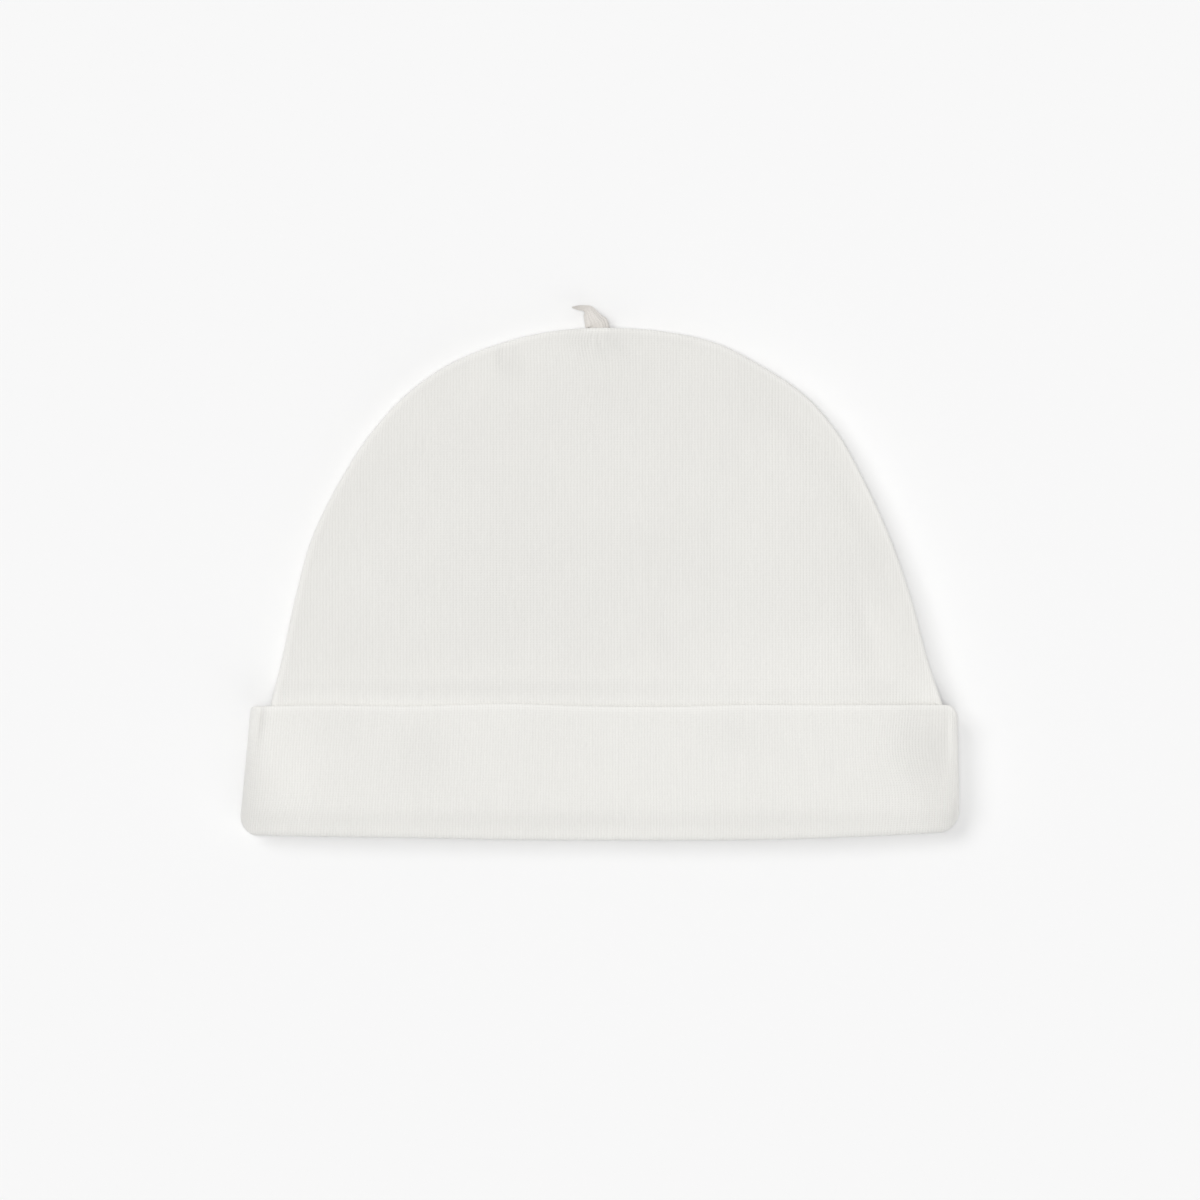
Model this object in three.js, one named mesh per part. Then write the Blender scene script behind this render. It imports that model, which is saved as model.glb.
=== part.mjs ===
// A newborn baby's nightcap of double cotton interlock, lying flat with its back on the surface.
// Two dome-shaped panels are sewn together along their outline, a curled stem of cloth is caught in
// the seam at the top, and the lower ends are turned up as a cuff. Millimetres, +X across the cap to
// the right, +Y towards the top of the dome, +Z up from the surface. The origin is at the bottom
// centre of the whole cap's box.
import * as THREE from "three";
import { mergeVertices } from "three/addons/utils/BufferGeometryUtils.js";

// Driving dimensions
const cuffWidth = 180.6;
const cuffHeight = 33.7;
const cuffTaperLeft = 2.8;
const cuffTaperRight = 0.6;
const crownInset = 6.1;
const crownHeight = 95;
const crownOffset = 1.8;
const crownThickness = 10.3;
const crownTopThickness = 8.4;
const wall = 1.4;
const hollowHeight = 6;
const cuffSeamLevel = 4.2;
const crownSeamLevel = 3.2;
const sideRound = 6.7;
const swellRise = 1.2;
const swellWidth = 30;
const hemSag = 2.6;
const edgeWave = 0.4;
const stemHeight = 5.5;
const stemWidth = 6.4;
const stemThickness = 2.6;
const stemOffset = -2.4;
const foldRise = 1;
const foldSpread = 10;
const gatherRise = 0.5;
const gatherReach = 15;
const gatherStart = 4;
const gatherCount = 9;
const settleLength = 7;
const cornerRadius = { leftBottom: 3.4, rightBottom: 3.8, leftTop: 1, rightTop: 2.3 };

// Clearances between pieces of cloth that touch on the real cap
const seamGap = 0.3;
const layerGap = 0.3;

// Facets and steps
const roundSteps = 5;
const frontSteps = 9;
const backSteps = 6;
const cuffRows = 5;
const domeRows = 23;
const cuffSteps = 22;
const leafSteps = 5;
const foldSteps = 6;
const edgeSteps = 4;
const stemSides = 12;
const stemSteps = 10;
const curveSamples = 400;
const mergeDistance = 0.002;
const spineCrowding = 1.3;
const topCrowding = 1.5;

const mix = THREE.MathUtils.lerp;

// Sizes that follow from them
const crownWidth = cuffWidth - 2 * crownInset;
const insideCuff = wall + layerGap;
const foldRadius = wall + layerGap / 2;
const stubLength = wall;
const cuffThickness = hollowHeight + 4 * wall + 2 * layerGap;
const domeFoot = cuffHeight + edgeWave + layerGap;
const domeTop = cuffHeight + crownHeight;
const domeHeight = domeTop - domeFoot;
const spineTop = mix(domeFoot, domeTop, 0.62);
const stemOpening = stemThickness / 2 + layerGap;

// The dome's outline: height as a share of domeHeight above its foot, left and right as
// shares of half of crownWidth. The top, at height 1, closes the two sides.
const domeOutline = [
  { height: 0, left: 1, right: 1 },
  { height: 0.12, left: 0.967, right: 0.955 },
  { height: 0.28, left: 0.928, right: 0.907 },
  { height: 0.44, left: 0.878, right: 0.845 },
  { height: 0.6, left: 0.79, right: 0.763 },
  { height: 0.72, left: 0.702, right: 0.688 },
  { height: 0.82, left: 0.6, right: 0.59 },
  { height: 0.9, left: 0.475, right: 0.457 },
  { height: 0.958, left: 0.318, right: 0.329 },
  { height: 0.99, left: 0.166, right: 0.172 },
];

// The cuff's bottom fold and top edge across the cap: across as a share of half of cuffWidth,
// hem as a share of hemSag upwards, edge as a share of edgeWave upwards.
const cuffLines = [
  { across: -1, hem: 0.5, edge: -0.9 },
  { across: -0.8, hem: 0.36, edge: 0.1 },
  { across: -0.55, hem: 0.25, edge: -0.5 },
  { across: -0.28, hem: 0.06, edge: 1 },
  { across: 0, hem: 0, edge: -0.6 },
  { across: 0.22, hem: 0, edge: -0.7 },
  { across: 0.42, hem: 0.03, edge: 0.4 },
  { across: 0.62, hem: 0.2, edge: 0.1 },
  { across: 0.82, hem: 0.5, edge: 0.3 },
  { across: 1, hem: 0.85, edge: 0.2 },
];

// Soft folds and dents of the crown's front: x and y as shares of half of crownWidth and of
// crownHeight, along and wide as shares of foldSpread, turn in degrees from the cap's height
// towards its left, rise as a share of foldRise.
const crownFolds = [
  { name: "pucker beside the seam", x: -0.3, y: 0.93, along: 0.45, wide: 0.22, turn: 0, rise: -1 },
  { name: "pinch under the stem", x: -0.03, y: 0.96, along: 0.45, wide: 0.3, turn: 25, rise: -0.9 },
  { name: "swell left of the stem", x: -0.11, y: 0.955, along: 0.4, wide: 0.35, turn: 0, rise: 0.5 },
  { name: "upper right hollow", x: 0.6, y: 0.73, along: 1.5, wide: 0.45, turn: 42, rise: -0.7 },
  { name: "right edge hollow", x: 0.77, y: 0.5, along: 1.2, wide: 0.3, turn: 24, rise: -0.6 },
  { name: "right side fold", x: 0.785, y: 0.2, along: 1.3, wide: 0.24, turn: 9, rise: -0.9 },
  { name: "swell beside that fold", x: 0.9, y: 0.13, along: 0.9, wide: 0.35, turn: 12, rise: 0.4 },
  { name: "swell above the cuff", x: 0.54, y: 0.15, along: 0.8, wide: 1.9, turn: 0, rise: 1 },
  { name: "long crease", x: 0.322, y: 0.38, along: 1.5, wide: 0.2, turn: 0, rise: -0.35 },
  { name: "short dent", x: 0.205, y: 0.22, along: 0.6, wide: 0.28, turn: -15, rise: -0.6 },
  { name: "swell beside that dent", x: 0.12, y: 0.14, along: 0.5, wide: 0.5, turn: 0, rise: 0.5 },
  { name: "valley above the cuff", x: -0.33, y: 0.06, along: 0.35, wide: 4, turn: 0, rise: -0.7 },
  { name: "dip at the cuff's right", x: 0.6, y: 0.02, along: 0.2, wide: 3.4, turn: 0, rise: -0.6 },
];

// The same for the cuff's front, with x as a share of half of cuffWidth and y of cuffHeight
const cuffFolds = [
  { name: "left end ridge", x: -0.87, y: 0.55, along: 1.5, wide: 0.4, turn: 0, rise: 0.5 },
  { name: "left dent", x: -0.5, y: 0.65, along: 0.9, wide: 0.7, turn: 0, rise: -0.35 },
  { name: "low swell", x: -0.6, y: 0.28, along: 0.4, wide: 1.5, turn: 0, rise: 0.3 },
  { name: "right dent", x: 0.41, y: 0.8, along: 0.7, wide: 0.6, turn: 0, rise: -0.3 },
  { name: "right end hollow", x: 0.91, y: 0.78, along: 1.1, wide: 0.5, turn: 0, rise: -1 },
  { name: "right end ridge", x: 0.965, y: 0.8, along: 1, wide: 0.16, turn: 0, rise: 0.7 },
  { name: "left end crease", x: -0.94, y: 0.9, along: 0.7, wide: 0.12, turn: -5, rise: -0.4 },
  { name: "hem hollow", x: -0.1, y: 0.06, along: 0.3, wide: 1.6, turn: 0, rise: -0.4 },
];

// The stem from inside the seam to its hooked tip: rise above the dome's top and lean to the left
// as shares of stemHeight, width and thickness as shares of stemWidth and stemThickness, lift as
// a share of stemThickness.
const stemSections = [
  { rise: -0.85, lean: 0, width: 0.95, thickness: 0.8, lift: 0 },
  { rise: -0.1, lean: 0.03, width: 0.98, thickness: 0.9, lift: 0 },
  { rise: 0.4, lean: 0.2, width: 0.72, thickness: 1, lift: 0.1 },
  { rise: 0.72, lean: 0.52, width: 0.5, thickness: 0.85, lift: 0.25 },
  { rise: 0.91, lean: 1.05, width: 0.16, thickness: 0.4, lift: 0.45 },
];

function smooth(value) {
  return THREE.MathUtils.smoothstep(value, 0, 1);
}

// A smooth line through one column of a table, read at a place in another column
function tableLine(table, place, column) {
  const places = table.map((row) => row[place]);
  const values = table.map((row) => row[column]);
  const line = new THREE.CubicInterpolant(places, values, 1);
  return (at) => line.evaluate(THREE.MathUtils.clamp(at, places[0], places.at(-1)))[0];
}

const hemLine = tableLine(cuffLines, "across", "hem");
const edgeLine = tableLine(cuffLines, "across", "edge");

// How far a rounded corner stands back at a distance from its side
function cornerRise(distance, radius) {
  const inside = Math.max(0, radius - distance);
  return radius - Math.sqrt(radius * radius - inside * inside);
}

// The cuff's outer side edge at a height
function cuffSide(side, y) {
  const taper = side < 0 ? cuffTaperLeft : cuffTaperRight;
  const widest = side < 0 ? cornerRadius.leftBottom : cornerRadius.rightBottom;
  return side * (cuffWidth / 2 - taper * THREE.MathUtils.clamp((y - widest) / (cuffHeight - widest), 0, 1));
}

// Middle of the bottom fold's bend, and the cuff's top edge, at x, that far from its side
function foldLine(side, x, distance) {
  const radius = side < 0 ? cornerRadius.leftBottom : cornerRadius.rightBottom;
  return foldRadius + hemSag * hemLine(x / (cuffWidth / 2)) + cornerRise(distance, radius);
}

// The crown's lower edge, just above the stub of the cuff's bend
function lowerEdge(side, x, distance) {
  return foldLine(side, x, distance) + stubLength + layerGap;
}

function topLine(side, x, distance) {
  const radius = side < 0 ? cornerRadius.leftTop : cornerRadius.rightTop;
  return cuffHeight + edgeWave * edgeLine(x / (cuffWidth / 2)) - cornerRise(distance, radius);
}

// Height of all soft folds of a table at a place
function foldRelief(folds, x, y) {
  let relief = 0;
  for (const fold of folds) {
    const turn = THREE.MathUtils.degToRad(fold.turn);
    const along = (Math.cos(turn) * (y - fold.y) - Math.sin(turn) * (x - fold.x)) / fold.along;
    const across = (Math.cos(turn) * (x - fold.x) + Math.sin(turn) * (y - fold.y)) / fold.wide;
    relief += fold.rise * Math.exp(-along * along - across * across);
  }
  return relief;
}

// A table's places and sizes in millimetres
function inMillimetres(folds, halfWidth, height, centre, foot) {
  return folds.map((fold) => ({
    x: centre + fold.x * halfWidth,
    y: foot + fold.y * height,
    along: fold.along * foldSpread,
    wide: fold.wide * foldSpread,
    turn: fold.turn,
    rise: fold.rise * foldRise,
  }));
}

const crownRelief = inMillimetres(crownFolds, crownWidth / 2, domeHeight, crownOffset, domeFoot);
const cuffRelief = inMillimetres(cuffFolds, cuffWidth / 2, cuffHeight, 0, 0);
const stemFoot = { x: crownOffset + stemOffset, y: domeTop };

// Gathers that fan out below the stem
function gathers(x, y) {
  const down = stemFoot.y - y;
  const reach = Math.hypot(x - stemFoot.x, down);
  const fan = Math.atan2(x - stemFoot.x, Math.max(down, wall));
  const fade = Math.exp(-((reach / gatherReach) ** 2)) * smooth(down / gatherStart);
  return gatherRise * Math.cos(gatherCount * fan) * fade;
}

// Share of the crown's free form at a height: 0 inside the cuff, 1 well above it
function freeShare(y) {
  return smooth((y - domeFoot) / settleLength);
}

// The crown's seam level, and how high its outside lies in front and at the back
function seamLevel(y) {
  return mix(cuffSeamLevel, crownSeamLevel, freeShare(y));
}

function frontLevel(x, y) {
  const up = THREE.MathUtils.clamp((y - domeFoot) / domeHeight, 0, 1);
  const plain = mix(crownThickness, crownTopThickness, up * up);
  const free = plain + foldRelief(crownRelief, x, y) + gathers(x, y);
  const inside = cuffThickness - insideCuff + foldRelief(cuffRelief, x, y);
  return mix(inside, free, freeShare(y));
}

function backLevel(y) {
  return mix(insideCuff, 0, freeShare(y));
}

// How far the seam opens round the stem
function stemGap(x, y) {
  const across = (x - stemFoot.x) / (stemWidth / 2 + stemOpening);
  if (y < stemFoot.y - stemWidth) {
    return 0;
  }
  return stemOpening * Math.sqrt(Math.max(0, 1 - across * across));
}

// A closed surface from a list of triangles of points, with its faces pointing out
function solid(triangles) {
  const positions = triangles.flatMap((corners) => corners.flatMap((corner) => corner.toArray()));
  let geometry = new THREE.BufferGeometry();
  geometry.setAttribute("position", new THREE.Float32BufferAttribute(positions, 3));
  geometry = mergeVertices(geometry, mergeDistance);
  const index = geometry.getIndex().array;
  const kept = [];
  for (let i = 0; i < index.length; i += 3) {
    const [a, b, c] = index.slice(i, i + 3);
    if (a !== b && b !== c && c !== a) {
      kept.push(a, b, c);
    }
  }
  geometry.setIndex(kept);
  return geometry;
}

function quad(triangles, a, b, c, d) {
  triangles.push([a, b, c], [a, c, d]);
}

// A strip between two rows of points of the same length
function strip(triangles, low, high) {
  for (let i = 1; i < low.length; i += 1) {
    quad(triangles, low[i - 1], low[i], high[i], high[i - 1]);
  }
}

// The wall between an outer and an inner grid of points, closed along the first row and the sides.
// The last row closes on itself, because its left and right halves are the same points.
function clothWall(outer, inner, flip) {
  const triangles = [];
  for (let row = 1; row < outer.length; row += 1) {
    strip(triangles, outer[row - 1], outer[row]);
    strip(triangles, inner[row], inner[row - 1]);
    quad(triangles, inner[row - 1][0], outer[row - 1][0], outer[row][0], inner[row][0]);
    quad(triangles, outer[row - 1].at(-1), inner[row - 1].at(-1), inner[row].at(-1), outer[row].at(-1));
  }
  strip(triangles, inner[0], outer[0]);
  return solid(flip ? triangles.map(([a, b, c]) => [c, b, a]) : triangles);
}

// A body lofted through closed sections of points, capped at both ends
function loft(sections, contour, flip) {
  const triangles = [];
  const count = contour.length;
  for (let row = 1; row < sections.length; row += 1) {
    for (let i = 0; i < count; i += 1) {
      const next = (i + 1) % count;
      quad(triangles, sections[row - 1][i], sections[row - 1][next], sections[row][next], sections[row][i]);
    }
  }
  for (const [a, b, c] of THREE.ShapeUtils.triangulateShape(contour, [])) {
    triangles.push([sections[0][c], sections[0][b], sections[0][a]]);
    triangles.push([sections.at(-1)[a], sections.at(-1)[b], sections.at(-1)[c]]);
  }
  return solid(flip ? triangles.map(([a, b, c]) => [c, b, a]) : triangles);
}

// The dome's outline on one side as a curve from its foot over the top, and where it passes the top
function domeCurve(side) {
  const half = crownWidth / 2;
  const [near, far] = side < 0 ? ["left", "right"] : ["right", "left"];
  const rimPoint = (towards, column, row) => (
    new THREE.Vector3(towards * half * row[column], domeHeight * row.height, 0));
  const points = domeOutline.map((row) => rimPoint(side, near, row));
  points.push(new THREE.Vector3(0, domeHeight, 0));
  points.push(rimPoint(-side, far, domeOutline.at(-1)));
  const curve = new THREE.CatmullRomCurve3(points, false, "centripetal");
  return { curve, topAt: (points.length - 2) / (points.length - 1) };
}

// The crown's rows on one side, from the lower edge inside the cuff up to the dome's top. A row
// above the cuff has its rim point and the height at which it meets the spine.
function crownRows(side) {
  const rows = [];
  for (let row = 0; row < cuffRows; row += 1) {
    rows.push({ inCuff: true, share: row / cuffRows });
  }
  const { curve, topAt } = domeCurve(side);
  const lengths = curve.getLengths(curveSamples);
  const topLength = lengths[Math.round(topAt * curveSamples)];
  for (let row = 0; row <= domeRows; row += 1) {
    const share = 1 - (1 - row / domeRows) ** topCrowding;
    const sample = lengths.findIndex((length) => length >= share * topLength);
    const point = row < domeRows ? curve.getPoint(sample / curveSamples) : curve.getPoint(topAt);
    const spineY = mix(domeFoot, spineTop, 1 - (1 - share) ** spineCrowding);
    rows.push({ inCuff: false, rimX: crownOffset + point.x, rimY: domeFoot + point.y, spineY });
  }
  return rows;
}

// Where a crown point lies seen from above. turn runs from 0 at the rim to a quarter turn where
// its rounding ends, further from 0 there to 1 at the spine, and depth is that inside the cloth.
function crownPlace(side, row, turn, further, depth) {
  const bend = depth + (sideRound - insideCuff - depth) * (1 - Math.cos(turn));
  if (!row.inCuff) {
    const inward = new THREE.Vector2(crownOffset - row.rimX, row.spineY - row.rimY);
    const distance = mix(bend, inward.length(), further);
    inward.setLength(distance);
    return { x: row.rimX + inward.x, y: row.rimY + inward.y, rimX: row.rimX, rimY: row.rimY, distance };
  }
  const free = crownOffset + (side * crownWidth) / 2;
  const rimY = mix(lowerEdge(side, (side * cuffWidth) / 2, 0), domeFoot, row.share);
  const rimX = mix(cuffSide(side, rimY) - side * insideCuff, free, row.share);
  const distance = mix(bend, Math.abs(rimX - crownOffset), further);
  const x = rimX - side * distance;
  const cuffDistance = further > 0 ? cuffWidth / 2 - Math.abs(x) : sideRound * (1 - Math.cos(turn));
  const lowest = lowerEdge(side, side * (cuffWidth / 2 - cuffDistance), cuffDistance);
  return { x, y: mix(lowest, domeFoot, row.share), rimX, rimY, distance };
}

function crownPoint(face, side, row, turn, further, depth) {
  const { x, y, rimX, rimY, distance } = crownPlace(side, row, turn, further, depth);
  const rimZ = seamLevel(rimY) + face * (seamGap / 2 + stemGap(rimX, rimY));
  if (face < 0) {
    return new THREE.Vector3(x, y, mix(rimZ, backLevel(y) + depth, Math.sin(turn)));
  }
  const shoulder = frontLevel(x, y) - swellRise - depth;
  const swell = swellRise * smooth(distance / swellWidth);
  return new THREE.Vector3(x, y, mix(rimZ, shoulder, Math.sin(turn)) + swell);
}

// Half of a row of crown points, from the rim to the spine
function halfRow(face, side, row, steps, depth) {
  const points = [];
  for (let step = 0; step <= roundSteps + steps; step += 1) {
    const turn = Math.min(1, step / roundSteps) * (Math.PI / 2);
    const further = Math.max(0, step - roundSteps) / steps;
    points.push(crownPoint(face, side, row, turn, further, depth));
  }
  return points;
}

function crownPanel(face, steps) {
  const left = crownRows(-1);
  const right = crownRows(1);
  const grid = (depth) => left.map((row, i) => {
    const leftHalf = halfRow(face, -1, row, steps, depth);
    const rightHalf = halfRow(face, 1, right[i], steps, depth);
    return [...leftHalf, ...rightHalf.reverse().slice(1)];
  });
  return clothWall(grid(0), grid(wall), face < 0);
}

// The cuff's section: a leaf outside the crown, a bend under the crown's lower edge and a short
// stub below it. Each point has its depth from the outside, its share of the way up from the fold
// to the top edge, and a step up or down from there.
function cuffSection() {
  const points = [];
  for (let i = 0; i <= edgeSteps; i += 1) {
    const turn = (Math.PI * i) / edgeSteps;
    points.push({ depth: (wall / 2) * (1 + Math.cos(turn)), share: 1, step: (wall / 2) * Math.sin(turn) });
  }
  for (let i = leafSteps - 1; i > 0; i -= 1) {
    points.push({ depth: 0, share: i / leafSteps, step: 0 });
  }
  for (let i = 0; i <= foldSteps; i += 1) {
    const turn = (Math.PI * i) / foldSteps;
    points.push({ depth: foldRadius * (1 - Math.cos(turn)), share: 0, step: -foldRadius * Math.sin(turn) });
  }
  points.push({ depth: 2 * foldRadius, share: 0, step: stubLength });
  points.push({ depth: insideCuff, share: 0, step: stubLength });
  points.push({ depth: insideCuff, share: 0, step: 0 });
  for (let i = 0; i < leafSteps; i += 1) {
    points.push({ depth: wall, share: i / leafSteps, step: 0 });
  }
  return points;
}

function cuffPoint(face, side, turn, further, { depth, share, step }) {
  const nominal = sideRound * (1 - Math.cos(turn));
  const bend = depth + (sideRound - depth) * (1 - Math.cos(turn));
  const nominalX = side * mix(cuffWidth / 2 - nominal, 0, further);
  const distance = cuffWidth / 2 - Math.abs(nominalX);
  const low = foldLine(side, nominalX, distance);
  const high = topLine(side, nominalX, distance) - wall / 2;
  const y = mix(low, high, share) + step;
  const edge = cuffSide(side, y);
  const x = edge - side * mix(bend, Math.abs(edge), further);
  const rimZ = cuffSeamLevel + (face * seamGap) / 2;
  const rise = Math.sin(turn);
  let z;
  if (face > 0) {
    const shoulder = cuffThickness + foldRelief(cuffRelief, x, y) - swellRise - depth;
    z = mix(rimZ, shoulder, rise) + swellRise * smooth((distance - depth) / swellWidth);
  } else {
    z = mix(rimZ, depth, rise);
  }
  return new THREE.Vector3(x, y, z);
}

function cuffHalf(face) {
  const section = cuffSection();
  const flat = ({ depth, share, step }) => new THREE.Vector2(depth, share * cuffHeight + step);
  const contour = section.map(flat);
  const stations = [];
  for (let i = 0; i < roundSteps; i += 1) {
    stations.push({ side: -1, turn: (i / roundSteps) * (Math.PI / 2), further: 0 });
  }
  for (let i = 0; i <= cuffSteps; i += 1) {
    const across = (2 * i) / cuffSteps - 1;
    stations.push({ side: across < 0 ? -1 : 1, turn: Math.PI / 2, further: 1 - Math.abs(across) });
  }
  for (let i = roundSteps - 1; i >= 0; i -= 1) {
    stations.push({ side: 1, turn: (i / roundSteps) * (Math.PI / 2), further: 0 });
  }
  const sections = stations.map(({ side, turn, further }) => (
    section.map((point) => cuffPoint(face, side, turn, further, point))));
  return loft(sections, contour, face < 0);
}

// The curled stem: a flattened roll of cloth with a crease down its front
function stemBody() {
  const place = (row) => new THREE.Vector3(
    stemFoot.x - row.lean * stemHeight,
    stemFoot.y + row.rise * stemHeight,
    crownSeamLevel + row.lift * stemThickness,
  );
  const path = new THREE.CatmullRomCurve3(stemSections.map(place), false, "centripetal");
  const rows = stemSections.map((row, i) => ({ ...row, at: i / (stemSections.length - 1) }));
  const widthAt = tableLine(rows, "at", "width");
  const thicknessAt = tableLine(rows, "at", "thickness");
  const contour = [];
  for (let i = 0; i < stemSides; i += 1) {
    const turn = (2 * Math.PI * i) / stemSides;
    const crease = 1 - 0.25 * Math.exp(-(((turn - Math.PI / 2) / 0.4) ** 2));
    contour.push(new THREE.Vector2(Math.cos(turn) * crease, Math.sin(turn) * crease));
  }
  const sections = [];
  for (let step = 0; step <= stemSteps; step += 1) {
    const at = step / stemSteps;
    const centre = path.getPoint(at);
    const ahead = path.getTangent(at);
    const across = new THREE.Vector3(ahead.y, -ahead.x, 0).normalize();
    const up = new THREE.Vector3().crossVectors(across, ahead).normalize();
    const halfWidth = (stemWidth * widthAt(at)) / 2;
    const halfThickness = (stemThickness * thicknessAt(at)) / 2;
    sections.push(contour.map((point) => centre.clone()
      .addScaledVector(across, point.x * halfWidth)
      .addScaledVector(up, point.y * halfThickness)));
  }
  return loft(sections, contour, true);
}

function cloth(colour) {
  return new THREE.MeshStandardMaterial({ color: colour, roughness: 0.95, metalness: 0 });
}

const cap = new THREE.Group();
const pieces = [
  { name: "crown_front", geometry: crownPanel(1, frontSteps), colour: 0xf1efe9 },
  { name: "crown_back", geometry: crownPanel(-1, backSteps), colour: 0xefede7 },
  { name: "cuff_front", geometry: cuffHalf(1), colour: 0xf3f1eb },
  { name: "cuff_back", geometry: cuffHalf(-1), colour: 0xf0eee8 },
  { name: "stem", geometry: stemBody(), colour: 0xe4dfd6 },
];
for (const { name, geometry, colour } of pieces) {
  const mesh = new THREE.Mesh(geometry, cloth(colour));
  mesh.name = name;
  cap.add(mesh);
}

// Put the origin at the bottom centre of the cap's box
const box = new THREE.Box3().setFromObject(cap);
const centre = box.getCenter(new THREE.Vector3());
cap.position.set(-centre.x, -centre.y, -box.min.z);
cap.updateMatrixWorld(true);

export default cap;
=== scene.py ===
# %% [markdown]
# # A newborn's nightcap in cotton interlock
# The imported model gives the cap's five solids in metres: two crown panels, two cuff halves and the
# stem. They are plain on purpose. This notebook dresses them as knitted cloth, piece by piece, and
# sets up the soft light that the cap is seen in. Lengths below are in millimetres, as a tailor
# thinks, and each piece turns its own into metres when its mesh is made.

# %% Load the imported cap
import math

import bpy
import numpy as np
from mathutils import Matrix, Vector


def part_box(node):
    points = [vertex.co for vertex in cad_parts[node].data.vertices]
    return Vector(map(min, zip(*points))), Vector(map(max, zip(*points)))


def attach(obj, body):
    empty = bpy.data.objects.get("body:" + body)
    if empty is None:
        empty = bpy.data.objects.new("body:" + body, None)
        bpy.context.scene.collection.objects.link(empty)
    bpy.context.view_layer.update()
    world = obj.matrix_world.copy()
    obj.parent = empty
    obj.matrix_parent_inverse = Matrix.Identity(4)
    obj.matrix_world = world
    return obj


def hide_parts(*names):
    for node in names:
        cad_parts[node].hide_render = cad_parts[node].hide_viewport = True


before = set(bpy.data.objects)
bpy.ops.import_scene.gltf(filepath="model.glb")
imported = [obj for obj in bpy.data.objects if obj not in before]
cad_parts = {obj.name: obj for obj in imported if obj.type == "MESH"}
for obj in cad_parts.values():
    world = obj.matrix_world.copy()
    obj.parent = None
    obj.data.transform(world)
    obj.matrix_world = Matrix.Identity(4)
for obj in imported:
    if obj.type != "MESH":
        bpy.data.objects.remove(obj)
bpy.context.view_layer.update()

MM = 0.001
print("solids:", sorted(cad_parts))

# %% [markdown]
# ## The sizes of the cap
# A dressed piece has to lie exactly where its solid lies. It could be fitted to the solid's points,
# but then it would inherit their facets. The cap's shape follows a rule instead, so the same few
# sizes and the same short tables that shape the solids are written here again, and every piece is
# computed from them at a much finer step. The middle of the cuff is x = 0, its lowest fold y = 0.
# Where the left and the right of the cap differ, a value has an entry -1 for left and 1 for right.

# %% The sizes that the solids have too
cuff_width, cuff_height = 180.6, 33.7
cuff_taper = {-1: 2.8, 1: 0.6}
crown_inset, crown_height, crown_offset = 6.1, 95.0, 1.8
crown_thickness, crown_top_thickness = 10.3, 8.4
wall, hollow_height, layer_gap = 1.4, 6.0, 0.3
cuff_seam_level, crown_seam_level = 4.2, 3.2
side_round, swell_rise, swell_width = 6.7, 1.2, 30.0
hem_sag, edge_wave, settle_length = 2.6, 0.4, 7.0
bottom_corner = {-1: 3.4, 1: 3.8}
top_corner = {-1: 1.0, 1: 3.0}
stem_height, stem_width, stem_thickness, stem_offset = 5.5, 6.4, 2.6, -2.4

# %% The sizes that only the cloth has
# the seam: the slit between the panels, the room beside the stem, and what counts as on the seam
seam_gap, stem_slack, on_seam = 0.1, 0.4, 0.001
# how steep the sides are: 2 is a quarter circle, 8 nearly a box; near the hem they are round
crown_fullness, cuff_fullness = {-1: 5.0, 1: 6.5}, {-1: 2.1, 1: 8.0}
hem_fullness, hem_round_from, hem_round_reach = 2.1, 4.0, 12.0
# the cuff's leaf: thickness and gap at its top edge; how far below the dome's foot it starts to
# thin, and over what length; how much higher its edge stands
edge_wall, edge_gap, edge_thinning_from, edge_thinning, edge_lift = 0.5, 0.05, 8.0, 7.0, 0.3
hem_droop, droop_reach = 3.0, 9.0
# painted light on the rims, against the shade of their steep sides: how much lighter, how wide, and
# which share of that the cuff's rim and edge get
rim_painted_light, rim_painted_light_width, cuff_rim_painted_share, cuff_edge_painted_share = 0.18, 0.9, 0.6, 0.35
# the gathers below the stem: rise, number in a full turn, reach, and where they start
gather_rise, gather_count, gather_reach, gather_start = 0.12, 9, 15.0, 4.0
# inside the side seam the wall leans towards this height; leaning wales straighten near an edge
dome_middle, lean_fade = 60.0, 4.0

# %% The sizes that follow from them
crown_half = cuff_width / 2 - crown_inset
inside_cuff = wall + layer_gap
crown_round = side_round - inside_cuff
fold_radius = wall + layer_gap / 2
cuff_thickness = hollow_height + 4 * wall + 2 * layer_gap
dome_foot = cuff_height + edge_wave + layer_gap
dome_height = cuff_height + crown_height - dome_foot
stem_foot = (crown_offset + stem_offset, cuff_height + crown_height)
stem_opening = stem_thickness / 2 + seam_gap
print("crown", 2 * crown_half, "mm wide; cuff", cuff_thickness, "mm thick")

# %% The short tables: the dome's outline, the cuff's two long edges
# height above the dome's foot as a share of its height; left, right as shares of crown_half
dome_outline = [
    (0.0, 1.0, 1.0), (0.12, 0.967, 0.955), (0.28, 0.928, 0.907), (0.44, 0.878, 0.845),
    (0.6, 0.79, 0.763), (0.72, 0.702, 0.688), (0.82, 0.6, 0.59), (0.9, 0.475, 0.457),
    (0.958, 0.318, 0.329), (0.99, 0.166, 0.172),
]
# across as a share of half the cuff; hem and top edge as shares of hem_sag and edge_wave
cuff_lines = np.array([
    (-1, 0.5, -0.9), (-0.8, 0.36, 0.1), (-0.55, 0.25, -0.5), (-0.28, 0.06, 1), (0, 0, -0.6),
    (0.22, 0, -0.7), (0.42, 0.03, 0.4), (0.62, 0.2, 0.1), (0.82, 0.5, 0.3), (1, 0.85, 0.2),
])
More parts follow.
